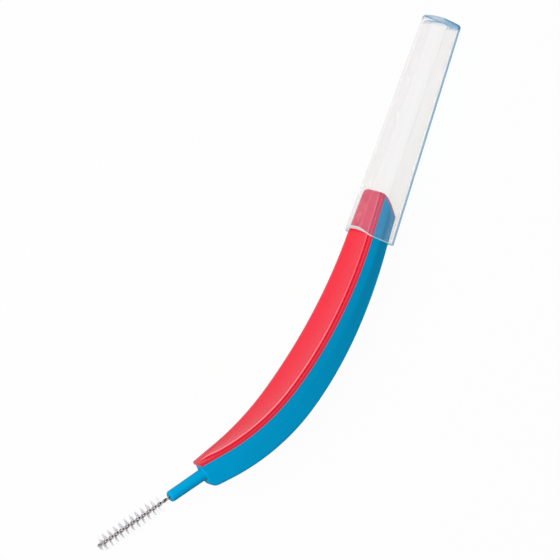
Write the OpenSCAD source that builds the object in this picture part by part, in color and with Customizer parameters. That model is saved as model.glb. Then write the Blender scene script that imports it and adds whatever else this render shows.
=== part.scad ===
// Interdental brush: a curved two-shot handle with a wire brush at one end and a clear cap on the other.
// It lies on its side as on a table: +X runs along the cap, +Y is the side that the red face looks to.
// All lengths are in millimetres.

/* [Handle curve] */
// Length of the handle's tail inside the cap
tail_l = 6.65; // [6:0.05:8]
// Straight run between the cap's mouth and the first bend
mouth_run = 1; // [0.5:0.1:3]
// Radius of the gentle bend next to the cap, along the parting line
gentle_r = 67; // [55:1:90]
// Turn of the gentle bend in degrees
gentle_turn = 21; // [15:1:25]
// Radius of the tighter bend next to the brush
tight_r = 36.5; // [30:0.5:50]
// Turn of the tighter bend in degrees
tight_turn = 21; // [15:1:25]
// Straight nose after the bends
nose_l = 3.85; // [3:0.05:7]

/* [Handle section] */
// Greatest width of the handle
belly_w = 6.4; // [6:0.1:7.5]
// Width of the nose
nose_w = 2.2; // [2.1:0.1:3]
// Depth of the blue core at the cap's mouth, from the parting line to its back
tail_d = 3.7; // [3.3:0.1:4.2]
// Greatest depth of the blue core
belly_d = 4.6; // [4.3:0.1:5.2]
// Depth of the blue core at the nose
nose_d = 4; // [3.8:0.1:4.4]
// Depth of the core's side wall, down to the crease where its back starts to taper
crease_d = 1.5; // [1:0.1:2]
// How far the tapered back draws in on each side
back_draw = 0.4; // [0.1:0.05:0.6]
// Radius of the core's two back edges
back_r = 0.55; // [0.3:0.05:0.8]
// Radius of the heel under the neck
heel_r = 1.3; // [0.8:0.1:1.4]
// Radius of the tail's corners, seen on the red face
tail_r = 0.7; // [0.5:0.1:1.6]
// How far each side of the tail draws in from the cap, at the tail's end
tail_draw = 0.22; // [0.05:0.01:0.4]
// Radius of the nose's corners, seen on the red face
nose_r = 0.25; // [0.2:0.05:0.6]
// Length over which the tail's back is cut away at a slant
slant_l = 2.65; // [2:0.05:3.5]

/* [Soft grip] */
// Thickness of the grip's flange
flange_t = 0.45; // [0.35:0.05:0.7]
// Width of the ledge round the raised pad
ledge_w = 0.5; // [0.4:0.05:0.8]
// Height of the raised pad above the flange
pad_rise = 0.35; // [0.25:0.05:0.6]
// Radius of the pad's edge
pad_r = 0.22; // [0.1:0.02:0.28]
// Depth of the dish in the pad
pad_dish = 0.15; // [0:0.05:0.3]
// Depth and half width of the groove round the pad's foot
groove = 0.09; // [0.04:0.01:0.14]
// Distance that the flange stands out over the core's nose
overhang = 0.3; // [0.1:0.05:0.5]
// Length over which the pad runs down to the flange at the nose
pad_fade = 2.6; // [1.5:0.1:4]
// Length of the tail's end that is grip instead of core, on the parting line
toe_l = 0.35; // [0.3:0.05:1.4]
// The same at the tail's back, where the slant ends
toe_back_l = 0.15; // [0.1:0.05:0.4]
// Radius of the moulded keys that hold the grip in the core
key_r = 0.8; // [0.5:0.05:1]
// Depth of the keys
key_d = 1.3; // [0.8:0.1:1.8]

/* [Neck and wire] */
// Radius of the neck at its root
neck_r = 0.88; // [0.84:0.02:0.96]
// Radius of the neck near its tip
neck_tip_r = 0.84; // [0.76:0.02:0.86]
// Length of the neck
neck_l = 6.4; // [5:0.1:8]
// Depth of the neck's axis under the parting line
neck_drop = 1.6; // [1.5:0.05:1.8]
// Width of the fillet between the neck and the nose
neck_fillet = 0.2; // [0.1:0.02:0.24]
// Length of that fillet along the neck
neck_fillet_l = 0.45; // [0.2:0.05:0.8]
// Radius of the rounded edge at the neck's tip
neck_round = 0.4; // [0.2:0.05:0.4]
// Radius of the wire
wire_r = 0.14; // [0.1:0.01:0.16]
// Pitch of the twisted wire
twist_pitch = 2; // [1.6:0.05:2.6]
// Free length of the brush from the neck's tip to the wire's tip
brush_l = 13.25; // [10:0.25:16]
// Length of wire held in the neck
root_l = 5; // [3:0.5:5]

/* [Bristles] */
// Diameter of the brush over its bristles
brush_d = 2.6; // [2.2:0.05:3.2]
// Strands of bristle along each side of the wire
strands = 190; // [150:1:220]
// Thickness of a strand, and of the root strip that the wire grips
strand_t = 0.06; // [0.04:0.005:0.07]
// Bare wire between the neck and the first bristle
bare_root = 1.5; // [0.3:0.1:2]
// Bare wire between the last bristle and the tip
bare_tip = 0.3; // [0.2:0.05:1.5]

/* [Cap] */
// Length of the cap
cap_l = 33.6; // [30:0.1:40]
// Width of the cap's mouth
cap_w = 6.6; // [6.4:0.1:7]
// Thickness of the cap's mouth, over its crown
cap_t = 6.2; // [6.1:0.1:6.6]
// Width of the cap's closed end
cap_end_w = 5.1; // [4.8:0.1:6]
// Thickness of the cap's closed end
cap_end_t = 4.8; // [4.4:0.1:5.4]
// Wall of the cap
cap_wall = 0.45; // [0.35:0.05:0.5]
// Thickness of the wall that closes the cap
end_wall = 0.7; // [0.6:0.1:1]
// Radius of the crowned face of the cap
crown_r = 4.84; // [4.5:0.1:7]
// Radius of the cap's back edges
cap_back_r = 0.75; // [0.6:0.05:0.8]
// Radius of the cap's edges beside the crown
cap_face_r = 0.5; // [0.5:0.05:0.7]
// Radius of the edge round the closed end
cap_end_r = 0.45; // [0.2:0.05:0.6]
// Depth of the arch in the mouth's crowned side
arch_d = 0.75; // [0.5:0.05:1.6]
// Width of the arch at the mouth
arch_w = 6.2; // [4:0.1:6.4]
// Length and depth of the slant in which the hollow's roof runs down to the end wall
roof_slant = 0.7; // [0.4:0.05:0.9]
// Clearance between the cap and the handle's tail
fit_gap = 0.08; // [0.05:0.01:0.15]

/* [Hidden] */

// Overrun of cuts past the surface that they open
over = 0.5;

// Shares of the curve's length at which the handle is widest and deepest
wide_share = 0.44;
deep_share = 0.6;
// How late the sides close in on the nose
nose_power = 2.35;
// Share of the side wall's depth by which its draft leans in
draft_share = 0.02;
// Limits where the section is small: the crease as a share of the depth, the rest as shares of the half width
crease_share = 0.4;
back_share = 0.45;
draw_share = 0.3;
ledge_share = 0.5;
// Share of its height that the pad keeps at its very end
least_share = 0.04;
// Share of the flange's thickness, or of the cap's wall, that a small edge takes
edge_share = 0.25;
// Clearance between the wire and what lies round it, as a share of the wire's radius
wire_gap_share = 0.14;
// Places of the keys, as shares of the curve's length
key_shares = [0.08, 0.36, 0.64];
// Shares of the pad's half width and of its dish, from its edge to its middle
dish_shares = [[0.62, 0.55], [0.32, 0.88], [0, 1]];
// Length of a strand at either end of the brush, and how fast it grows to the full length
short_share = 0.86;
grow_share = 0.12;
// Share of its place along the wire that a strand fills
fill_share = 0.6;
// Shares of the way round the cap's edge beside the crown
face_shares = [0.33, 0.67, 1];

// The parting line between core and grip is the handle's own curve.
// s runs along it from the cap's mouth to the nose, and is negative on the tail.
gentle_l = gentle_r * gentle_turn * PI / 180;
tight_l = tight_r * tight_turn * PI / 180;
curve_l = mouth_run + gentle_l + tight_l + nose_l;
end_turn = gentle_turn + tight_turn;
parting_y = tail_d + fit_gap + cap_wall - cap_t / 2;

gentle_end = [
    -mouth_run - gentle_r * sin(gentle_turn),
    parting_y + gentle_r * (1 - cos(gentle_turn))
];
tight_end = gentle_end + tight_r * [sin(gentle_turn) - sin(end_turn), cos(gentle_turn) - cos(end_turn)];

function turn_at(s) =
    s < mouth_run ? 0
    : s < mouth_run + gentle_l ? gentle_turn * (s - mouth_run) / gentle_l
    : s < mouth_run + gentle_l + tight_l ? gentle_turn + tight_turn * (s - mouth_run - gentle_l) / tight_l
    : end_turn;

function curve_at(s) =
    let (a = turn_at(s))
    s < mouth_run ? [-s, parting_y]
    : s < mouth_run + gentle_l ? [-mouth_run - gentle_r * sin(a), parting_y + gentle_r * (1 - cos(a))]
    : s < mouth_run + gentle_l + tight_l
    ? gentle_end + tight_r * [sin(gentle_turn) - sin(a), cos(gentle_turn) - cos(a)]
    : tight_end + (s - curve_l + nose_l) * [-cos(end_turn), sin(end_turn)];

// A point of the handle: s along the curve, z to the side and h above the parting line
function on_handle(s, z, h) =
    let (p = curve_at(s), a = turn_at(s))
    [p[0] + h * sin(a), p[1] + h * cos(a), z];

// The cap draws in evenly from its mouth to its closed end, and the tail follows it
side_slope = (cap_w - cap_end_w) / 2 / cap_l;
back_slope = (cap_t - cap_end_t) / 2 / cap_l;
mouth_half = cap_w / 2 - cap_wall - fit_gap;

// How far an edge of radius r has drawn in at distance u from its end
function rounding(u, r) = u >= r ? 0 : r - sqrt(max(0, r * r - (r - u) * (r - u)));

function half_width(s) =
    let (wide = wide_share * curve_l, t = (s - wide) / (curve_l - wide))
    (s < 0 ? mouth_half + (side_slope + tail_draw / tail_l) * s
    : s < wide ? mouth_half + (belly_w / 2 - mouth_half) * sin(90 * s / wide)
    : belly_w / 2 - (belly_w - nose_w) / 2 * pow(min(1, t), nose_power))
    - rounding(s + tail_l, tail_r) - rounding(curve_l + overhang - s, nose_r);

function depth(s) =
    let (deep = deep_share * curve_l)
    (s < 0 ? tail_d + back_slope * s
    : s < deep ? tail_d + (belly_d - tail_d) * sin(90 * s / deep)
    : belly_d - (belly_d - nose_d) * (1 - cos(90 * (s - deep) / (curve_l - deep))))
    - rounding(curve_l - s, heel_r);

// Stations along the handle: close together where an end is rounded
corner_steps = 5;
run_steps = 34;
function run_in(a, b, n) = [for (i = [0 : n]) a + (b - a) * i / n];
function quarter(n) = [for (i = [0 : n]) 90 * i / n];
tail_stations = [for (a = quarter(corner_steps)) tail_r * (1 - cos(a)) - tail_l];
heel_stations = [for (a = quarter(corner_steps)) if (a > 0) curve_l - heel_r + heel_r * sin(a)];
nose_stations = [for (a = quarter(corner_steps)) if (a > 0) curve_l + overhang * sin(a)];
run_stations = [for (s = run_in(tail_r - tail_l, curve_l - heel_r, run_steps)) if (s > tail_r - tail_l) s];
stations = concat(tail_stations, run_stations, heel_stations);

// A closed solid through rings that all have the same number of points
module loft(rings) {
    n = len(rings[0]);
    last = len(rings) - 1;
    sides = [
        for (k = [0 : last - 1], i = [0 : n - 1])
        let (j = (i + 1) % n, a = k * n, b = a + n)
        each [[a + i, a + j, b + j], [a + i, b + j, b + i]]
    ];
    ends = [[for (i = [0 : n - 1]) n - 1 - i], [for (i = [0 : n - 1]) last * n + i]];
    polyhedron([for (r = rings) each r], concat(sides, ends));
}

// Mirrors half an outline, given from the right side to the middle, and goes round from left to right
function both_sides(half) = concat(
    [for (p = half) p],
    [for (i = [len(half) - 1 : -1 : 0]) if (half[i][0] > 0) [-half[i][0], half[i][1]]]
);

function core_half(s) =
    let (
        w = half_width(s),
        d = depth(s),
        c = min(crease_d, d * crease_share),
        r = min(back_r, w * back_share),
        foot = w - c * draft_share - min(back_draw, w * draw_share)
    )
    concat(
        [[w, 0], [w - c * draft_share, -c]],
        [for (a = quarter(4)) [foot - r + r * cos(a), r - d - r * sin(a)]]
    );

function pad_half(s) =
    let (
        w = half_width(s),
        fade = min(1, max(least_share, (curve_l - s) / pad_fade)),
        edge = flange_t * edge_share,
        foot = w - min(ledge_w, w * ledge_share),
        g = groove * fade,
        r = pad_r * fade,
        top = flange_t + pad_rise * fade
    )
    concat(
        [[w, 0], [w, flange_t - edge], [w - edge, flange_t]],
        [[foot + 2 * g, flange_t], [foot + g, flange_t - g]],
        [for (a = quarter(3)) [foot - r + r * cos(a), top - r + r * sin(a)]],
        [for (p = dish_shares) [(foot - r) * p[0], top - pad_dish * fade * p[1]]]
    );

// Rings of the core, and of the grip, whose outlines go round the other way
function core_rings(list) = [for (s = list) [for (p = both_sides(core_half(s))) on_handle(s, p[0], p[1])]];
function grip_rings(list) = [
    for (s = list)
    let (ring = both_sides(pad_half(s)), last = len(ring) - 1)
    [for (i = [last : -1 : 0]) on_handle(s, ring[i][0], ring[i][1])]
];

// Moves a shape to a place on the parting line, with its +Z along the line's normal, out of the red face
module at_parting(s) {
    p = curve_at(s);
    translate([p[0], p[1], 0])
    rotate([0, 0, -turn_at(s)])
    rotate([-90, 0, 0])
    children();
}

module keys(above) {
    for (share = key_shares)
    at_parting(share * curve_l)
    translate([0, 0, -key_d])
    cylinder(h = key_d + above, r = key_r, $fn = 48);
}

// The neck's axis starts at the core's front face, under the parting line
neck_start = on_handle(curve_l, 0, -neck_drop);
bundle_r = 2 * wire_r * (1 + wire_gap_share);
bore_r = bundle_r + wire_r * wire_gap_share;

// Turns +X to the brush's direction, with its origin on the neck's axis at distance u from the front face
module along_neck(u) {
    translate(neck_start)
    rotate([0, 0, 180 - end_turn])
    translate([u, 0, 0])
    children();
}

module neck() {
    along_neck(0)
    rotate([0, 90, 0])
    rotate_extrude($fn = 72)
    difference() {
        polygon([
            [0, -heel_r],
            [neck_r, -heel_r],
            [neck_r, 0],
            for (a = quarter(4)) [neck_r + neck_fillet * (1 - sin(a)), neck_fillet_l * (1 - cos(a))],
            [neck_tip_r, neck_l - neck_round],
            [neck_tip_r, neck_l],
            [0, neck_l]
        ]);
        translate([neck_tip_r - neck_round, neck_l - neck_round])
        difference() {
            square(neck_round + over);
            circle(neck_round, $fn = 48);
        }
    }
}

module handle_core() {
    color([0, 0.56, 0.75])
    lying()
    difference() {
        union() {
            difference() {
                loft(core_rings(stations));
                past_slant(toe_l, toe_back_l);
            }
            neck();
        }
        keys(over);
        along_neck(neck_l - root_l)
        rotate([0, 90, 0])
        cylinder(h = root_l + over, r = bore_r, $fn = 48);
    }
}

// The tail's end slants. This is all that lies past the slant, or past a line short of it by
// one distance on the parting line and another at the back.
module past_slant(top_gap, back_gap) {
    rise = depth(-tail_l);
    lean = (slant_l + back_gap - top_gap) / rise;
    translate([tail_l, parting_y, -cap_w / 2])
    linear_extrude(cap_w)
    polygon([
        [lean * over - top_gap, over],
        [-slant_l - back_gap - lean * over, -rise - over],
        [over, -rise - over],
        [over + lean * over, over]
    ]);
}

// The grip wraps the slanted end with a toe, which has the core's own section
module toe() {
    difference() {
        intersection() {
            loft(core_rings(concat(tail_stations, [slant_l + toe_back_l + over - tail_l])));
            past_slant(toe_l, toe_back_l);
        }
        past_slant(0, 0);
    }
}

module grip_pad() {
    color([0.95, 0.3, 0.36])
    lying()
    union() {
        loft(grip_rings(concat(stations, nose_stations)));
        toe();
        keys(flange_t / 2);
    }
}

// Twist of the wire at distance x from the neck's tip: even, and easing off before the end loop
ease_l = bare_tip;
leg_end = brush_l - bundle_r;
ease_from = leg_end - ease_l;
function eased(u) = u < 0 ? u : u * (1 - u / ease_l / 2);
function twist_at(x) = -360 / twist_pitch * (ease_from + eased(x - ease_from));

leg_r = bundle_r - wire_r;
rings_per_turn = 10;
leg_rings = ceil((leg_end + root_l) / twist_pitch * rings_per_turn);
loop_steps = 6;

// Centre of one leg of the wire at distance x from the neck's tip
function leg_at(x, side) = let (a = twist_at(x)) [x, side * leg_r * cos(a), side * leg_r * sin(a)];

// The wire's path: out along one leg, round the end loop and back along the other
loop_out = leg_at(leg_end, 1) - [leg_end, 0, 0];
wire_path = concat(
    [for (x = run_in(-root_l, leg_end, leg_rings)) leg_at(x, 1)],
    [
        for (i = [1 : loop_steps - 1])
        let (a = 180 * i / loop_steps)
        [leg_end + leg_r * sin(a), 0, 0] + cos(a) * loop_out
    ],
    [for (x = run_in(leg_end, -root_l, leg_rings)) leg_at(x, -1)]
);

function unit(v) = v / norm(v);
function square_to(v, t) = unit(v - (v * t) * t);
last_point = len(wire_path) - 1;
function wire_ahead(k) = unit(wire_path[min(last_point, k + 1)] - wire_path[max(0, k - 1)]);

// Directions across the path, each turned as little as possible from the one before
wire_across = [
    for (
        k = 0, e = square_to([0, 0, 1], wire_ahead(0));
        k <= last_point;
        k = k + 1, e = square_to(e, wire_ahead(min(k, last_point)))
    )
    e
];
wire_sides = 6;

module wire() {
    color([0.75, 0.76, 0.78])
    lying()
    along_neck(neck_l)
    loft([
        for (k = [0 : last_point])
        let (e = wire_across[k], f = cross(wire_ahead(k), e))
        [
            for (i = [0 : wire_sides - 1])
            let (a = -360 * i / wire_sides)
            wire_path[k] + wire_r * (cos(a) * e + sin(a) * f)
        ]
    ]);
}

// The bristles are one strip in the wire's twist, with a strand standing on each place along both its edges
strip_from = bare_root;
strip_to = leg_end - bare_tip;
strip_half = wire_r;
place_l = (strip_to - strip_from) / strands;

function strand_reach(x) =
    let (u = (x - strip_from) / (strip_to - strip_from), near = min(u, 1 - u) / grow_share)
    brush_d / 2 * (near >= 1 ? 1 : short_share + (1 - short_share) * sin(90 * near));

// A point of the strip or of a strand: e across its thickness, and f out along the strand
function on_strip(x, at, e, f) = let (a = twist_at(at)) [x, e * cos(a) - f * sin(a), e * sin(a) + f * cos(a)];

// Corners of the strip at place i: before and after its strand, each with four corners
function strip_ring(x) = [
    for (c = [[-1, 1], [1, 1], [1, -1], [-1, -1]])
    on_strip(x, x, c[0] * strand_t / 2, c[1] * strip_half)
];
function strand_tip(i, side) =
    let (
        x = strip_from + place_l * (i + fill_share / 2),
        w = place_l * fill_share / 2,
        e = side * strand_t / 2,
        f = side * strand_reach(x)
    )
    [for (c = [[-1, -1], [-1, 1], [1, 1], [1, -1]]) on_strip(x + c[0] * w, x, -c[1] * e, f)];

module bristles() {
    rings = [
        for (i = [0 : strands - 1])
        each [strip_ring(strip_from + place_l * i), strip_ring(strip_from + place_l * (i + fill_share))]
    ];
    n = len(rings) * 4;
    tips = [for (i = [0 : strands - 1], side = [1, -1]) each strand_tip(i, side)];
    walls = [
        for (k = [0 : len(rings) - 2], i = [0 : 3])
        if (k % 2 == 1 || i % 2 == 1)
        let (a = 4 * k, j = (i + 1) % 4)
        each [[a + i, a + j, a + i + 4], [a + j, a + j + 4, a + i + 4]]
    ];
    hairs = [
        for (i = [0 : strands - 1], low = [true, false])
        let (
            a = 8 * i,
            foot = low ? [a, a + 1, a + 5, a + 4] : [a + 2, a + 3, a + 7, a + 6],
            b = n + 8 * i + (low ? 0 : 4),
            tip = [b + 1, b, b + 3, b + 2]
        )
        each concat(
            [
                for (q = [0 : 3])
                let (r = (q + 1) % 4)
                each [[foot[q], foot[r], tip[q]], [foot[r], tip[r], tip[q]]]
            ],
            [[tip[0], tip[1], tip[2]], [tip[0], tip[2], tip[3]]]
        )
    ];
    ends = [[3, 2, 1, 0], [for (i = [0 : 3]) n - 4 + i]];
    color([0.93, 0.94, 0.95])
    lying()
    along_neck(neck_l)
    polyhedron(concat([for (r = rings) each r], tips), concat(walls, hairs, ends));
}

// Half of the cap's outline: w and t are half its width and half its thickness, r the crown's radius
face_steps = 8;
function cap_half(w, t, r, back, face) =
    let (
        mid = t - r,
        reach = asin((w - face) / r),
        from = [r * sin(reach), mid + r * cos(reach)],
        corner = [w, mid + sqrt(r * r - w * w)],
        to = [w, corner[1] - face]
    )
    concat(
        [for (i = [0 : face_steps]) let (a = reach * i / face_steps) [r * sin(a), mid + r * cos(a)]],
        [for (u = face_shares) (1 - u) * (1 - u) * from + 2 * u * (1 - u) * corner + u * u * to],
        [for (a = quarter(4)) [w - back + back * cos(a), back - t - back * sin(a)]]
    );

function cap_ring(x, inset) =
    let (
        w = cap_w / 2 - side_slope * x - inset,
        t = cap_t / 2 - back_slope * x - inset,
        face = max(cap_face_r - inset, cap_wall * edge_share),
        half = cap_half(w, t, crown_r - inset, cap_back_r - min(inset, cap_wall), face)
    )
    concat(
        [for (i = [1 : len(half) - 1]) [x, half[i][1], -half[i][0]]],
        [for (i = [len(half) - 1 : -1 : 0]) [x, half[i][1], half[i][0]]]
    );

module cap() {
    color([0.82, 0.88, 0.92, 0.5])
    lying()
    difference() {
        loft(concat(
            [cap_ring(0, 0)],
            [for (a = quarter(4)) cap_ring(cap_l - cap_end_r + cap_end_r * sin(a), cap_end_r * (1 - cos(a)))]
        ));
        difference() {
            loft([cap_ring(-over, cap_wall), cap_ring(cap_l - end_wall, cap_wall)]);
            roof_cut();
        }
        mouth_arch();
    }
}

// The arch in the mouth is a round cutter that comes in from the crowned side, down to the crown's edges
shoulder_y = cap_t / 2 - crown_r + sqrt(crown_r * crown_r - cap_w * cap_w / 4) - cap_face_r;
module mouth_arch() {
    r = (arch_w * arch_w / 4 + arch_d * arch_d) / 2 / arch_d;
    translate([arch_d - r, shoulder_y, 0])
    rotate([-90, 0, 0])
    cylinder(h = cap_t, r = r, $fn = 96);
}

// The roof of the hollow slants down to the end wall
module roof_cut() {
    translate([cap_l - end_wall, cap_end_t / 2 - cap_wall - roof_slant, 0])
    rotate([0, 0, 45])
    translate([0, -over, -cap_w / 2])
    cube([2 * roof_slant, 2 * roof_slant + 2 * over, cap_w]);
}

// The part stands with its origin on the surface, under the middle of its box
brush_tip = neck_start + (neck_l + brush_l) * [-cos(end_turn), sin(end_turn), 0];
last_tuft = neck_start + (neck_l + strip_to) * [-cos(end_turn), sin(end_turn), 0];
tuft_r = short_share * brush_d / 2;
low_x = min(brush_tip[0], last_tuft[0] - tuft_r * sin(end_turn));
high_y = max(brush_tip[1], last_tuft[1] + tuft_r * cos(end_turn));
module lying() {
    translate([-(low_x + cap_l) / 2, -(high_y - cap_t / 2) / 2, cap_w / 2])
    children();
}

handle_core();
grip_pad();
wire();
bristles();
cap();
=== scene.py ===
# %% [markdown]
# This lesson dresses an interdental brush. It has a curved handle moulded in two materials,
# a twisted wire that holds a small brush, and a clear cap pushed on the handle's other end.
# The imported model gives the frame: every piece here is made where the model says, in metres.

# %% Load the frame
import math
import random

import bmesh
import bpy
from mathutils import Matrix, Vector


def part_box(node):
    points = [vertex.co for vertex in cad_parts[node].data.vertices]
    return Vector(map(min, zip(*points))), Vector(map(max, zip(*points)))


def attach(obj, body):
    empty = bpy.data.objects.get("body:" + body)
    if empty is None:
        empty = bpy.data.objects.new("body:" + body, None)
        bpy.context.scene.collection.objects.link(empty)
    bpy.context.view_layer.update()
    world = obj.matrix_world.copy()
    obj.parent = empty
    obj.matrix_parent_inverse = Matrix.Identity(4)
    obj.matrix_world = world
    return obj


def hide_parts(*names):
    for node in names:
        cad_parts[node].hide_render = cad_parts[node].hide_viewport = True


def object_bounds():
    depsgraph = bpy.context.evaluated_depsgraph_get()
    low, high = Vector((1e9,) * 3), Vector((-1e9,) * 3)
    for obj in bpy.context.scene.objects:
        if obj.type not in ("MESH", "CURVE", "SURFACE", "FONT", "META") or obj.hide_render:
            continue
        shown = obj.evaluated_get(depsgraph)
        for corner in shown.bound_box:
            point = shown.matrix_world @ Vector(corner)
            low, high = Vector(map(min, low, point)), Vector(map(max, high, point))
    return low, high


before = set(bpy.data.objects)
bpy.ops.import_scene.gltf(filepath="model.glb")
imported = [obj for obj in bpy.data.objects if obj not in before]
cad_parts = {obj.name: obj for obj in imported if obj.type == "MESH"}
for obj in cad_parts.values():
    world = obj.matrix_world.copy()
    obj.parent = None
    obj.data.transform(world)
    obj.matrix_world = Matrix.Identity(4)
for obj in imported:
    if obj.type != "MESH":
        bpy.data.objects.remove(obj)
cad_low, cad_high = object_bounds()
print("the model's box in mm:", [round(1000 * (b - a), 2) for a, b in zip(cad_low, cad_high)])

# %% [markdown]
# A designer thinks in millimetres and Blender works in metres, so each size is written once as
# millimetres times MM. The handle lies on its side: X runs along the cap, Y is the side that the
# red face looks to, and Z goes through the handle's width. The cap's mouth is the start of it all.

# %% Sizes of the handle
MM = 0.001
mouth_low, mouth_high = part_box("cap")
MOUTH = Vector((mouth_low.x, (mouth_low.y + mouth_high.y) / 2, (mouth_low.z + mouth_high.z) / 2))

TAIL_LENGTH = 6.65 * MM
MOUTH_RUN = 1 * MM
GENTLE_RADIUS = 67 * MM
TIGHT_RADIUS = 36.5 * MM
GENTLE_TURN = math.radians(21)
TIGHT_TURN = math.radians(21)
NOSE_LENGTH = 3.85 * MM
END_TURN = GENTLE_TURN + TIGHT_TURN
GENTLE_LENGTH = GENTLE_RADIUS * GENTLE_TURN
TIGHT_LENGTH = TIGHT_RADIUS * TIGHT_TURN
CURVE_LENGTH = MOUTH_RUN + GENTLE_LENGTH + TIGHT_LENGTH + NOSE_LENGTH
PARTING_Y = 1.13 * MM
print("the handle's curve is", round(CURVE_LENGTH / MM, 2), "mm long")

# %% [markdown]
# The two mouldings meet along one parting line, which is the handle's own curve: a short straight,
# a gentle bend, a tighter bend and a straight nose. A place on the handle is then three numbers:
# how far along the curve, how far to the side, and how high above the parting line.

# %% The handle's curve


def turn_at(along):
    """How far the curve has turned at a distance from the cap's mouth."""
    if along < MOUTH_RUN:
        return 0.0
    if along < MOUTH_RUN + GENTLE_LENGTH:
        return (along - MOUTH_RUN) / GENTLE_RADIUS
    return min(END_TURN, GENTLE_TURN + (along - MOUTH_RUN - GENTLE_LENGTH) / TIGHT_RADIUS)


def bend_end(start, radius, before, after):
    """Where an arc of the curve has got to."""
    run = math.sin(before) - math.sin(after)
    rise = math.cos(before) - math.cos(after)
    return start + radius * Vector((run, rise))


def curve_at(along):
    """The parting line's point, as X and Y from the mouth."""
    turn = turn_at(along)
    start = Vector((-MOUTH_RUN, PARTING_Y))
    if along < MOUTH_RUN:
        return Vector((-along, PARTING_Y))
    if along < MOUTH_RUN + GENTLE_LENGTH:
        return bend_end(start, GENTLE_RADIUS, 0.0, turn)
    joint = bend_end(start, GENTLE_RADIUS, 0.0, GENTLE_TURN)
    if along < CURVE_LENGTH - NOSE_LENGTH:
        return bend_end(joint, TIGHT_RADIUS, GENTLE_TURN, turn)
    bends = bend_end(joint, TIGHT_RADIUS, GENTLE_TURN, END_TURN)
    past = along - CURVE_LENGTH + NOSE_LENGTH
    return bends + past * Vector((-math.cos(END_TURN), math.sin(END_TURN)))


def on_handle(along, side, height):
    """A point of the handle in the row's frame."""
    turn = turn_at(along)
    point = curve_at(along) + height * Vector((math.sin(turn), math.cos(turn)))
    return MOUTH + Vector((point.x, point.y, side))


print("the nose's front is at", [round(v / MM, 2) for v in on_handle(CURVE_LENGTH, 0, 0)], "mm")

# %% [markdown]
# Shaping by sections is how handles are drawn: the width and the depth are two smooth functions
# of the distance along the curve, and the ends are rounded by letting the last sections shrink.

# %% Width and depth along the handle
BELLY_WIDTH = 6.4 * MM
NOSE_WIDTH = 2.2 * MM
MOUTH_HALF = 2.77 * MM
TAIL_NARROWING = 0.37 * MM
TAIL_DEPTH = 3.7 * MM
TAIL_BACK_SLOPE = 0.0208
BELLY_DEPTH = 4.6 * MM
NOSE_DEPTH = 4.0 * MM
TAIL_CORNER = 0.7 * MM
NOSE_CORNER = 0.14 * MM
HEEL_RADIUS = 1.3 * MM
FLANGE_OVERHANG = 0.3 * MM
WIDEST = 0.44 * CURVE_LENGTH
DEEPEST = 0.6 * CURVE_LENGTH
NOSE_POWER = 2.35
RIGHT_ANGLE = math.pi / 2


def rounding(distance, radius):
    """How far an edge of that radius has drawn in, at a distance from the end."""
    if distance >= radius:
        return 0.0
    return radius - math.sqrt(max(0.0, radius**2 - (radius - distance) ** 2))


def half_width(along):
    """Half the handle's width, measured on the parting line."""
    if along < 0:
        half = MOUTH_HALF + TAIL_NARROWING * along / TAIL_LENGTH
    elif along < WIDEST:
        half = MOUTH_HALF + (BELLY_WIDTH / 2 - MOUTH_HALF) * math.sin(RIGHT_ANGLE * along / WIDEST)
    else:
        share = min(1.0, (along - WIDEST) / (CURVE_LENGTH - WIDEST))
        half = BELLY_WIDTH / 2 - (BELLY_WIDTH - NOSE_WIDTH) / 2 * share**NOSE_POWER
    nose = rounding(CURVE_LENGTH + FLANGE_OVERHANG - along, NOSE_CORNER)
    return half - rounding(along + TAIL_LENGTH, TAIL_CORNER) - nose


def depth(along):
    """How deep the core is below the parting line."""
    if along < 0:
        deep = TAIL_DEPTH + TAIL_BACK_SLOPE * along
    elif along < DEEPEST:
        deep = TAIL_DEPTH + (BELLY_DEPTH - TAIL_DEPTH) * math.sin(RIGHT_ANGLE * along / DEEPEST)
    else:
        share = (along - DEEPEST) / (CURVE_LENGTH - DEEPEST)
        deep = BELLY_DEPTH - (BELLY_DEPTH - NOSE_DEPTH) * (1 - math.cos(RIGHT_ANGLE * share))
    return deep - rounding(CURVE_LENGTH - along, HEEL_RADIUS)


def ease(value, start, end):
    """Goes smoothly from 0 at start to 1 at end."""
    share = max(0.0, min(1.0, (value - start) / (end - start)))
    return share * share * (3 - 2 * share)


for place in (0, WIDEST, DEEPEST, CURVE_LENGTH - HEEL_RADIUS):
    wide = 2 * half_width(place) / MM
    deep = depth(place) / MM
    print(f"at {place / MM:5.1f} mm the core is {wide:.2f} wide and {deep:.2f} deep")

# %% [markdown]
# One helper makes every long form here. It draws the first section as a loop of edges, extrudes
# that loop once for each station, and moves the new vertices to their places on the next section.
# An integer layer remembers which place of the section a vertex has, because an extruded vertex
# keeps the layer's value of the vertex that it came from.

# %% Sweeping a section


def ring_of(shape, points):
    """A closed loop of vertices and edges, each vertex numbered in the layer called place."""
    place = shape.verts.layers.int.get("place") or shape.verts.layers.int.new("place")
    ring = [shape.verts.new(point) for point in points]
    for number, vert in enumerate(ring):
        vert[place] = number
    return [shape.edges.new((ring[number - 1], vert)) for number, vert in enumerate(ring)]


def sweep(shape, sections, close_ends=(True, True)):
    """Extrudes a loop of edges through all sections, and returns the loop it started from."""
    first = ring_of(shape, sections[0])
    place = shape.verts.layers.int["place"]
    loop = first
    for section in sections[1:]:
        grown = bmesh.ops.extrude_edge_only(shape, edges=loop)["geom"]
        verts = {item for item in grown if isinstance(item, bmesh.types.BMVert)}
        edges = [item for item in grown if isinstance(item, bmesh.types.BMEdge)]
        loop = [edge for edge in edges if edge.verts[0] in verts and edge.verts[1] in verts]
        for vert in verts:
            vert.co = section[vert[place]]
    for edges, closed in zip((first, loop), close_ends):
        if closed:
            bmesh.ops.contextual_create(shape, geom=edges)
    return first


def quarter(steps):
    """The angles of a quarter turn, both ends included."""
    return [RIGHT_ANGLE * step / steps for step in range(steps + 1)]


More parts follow.
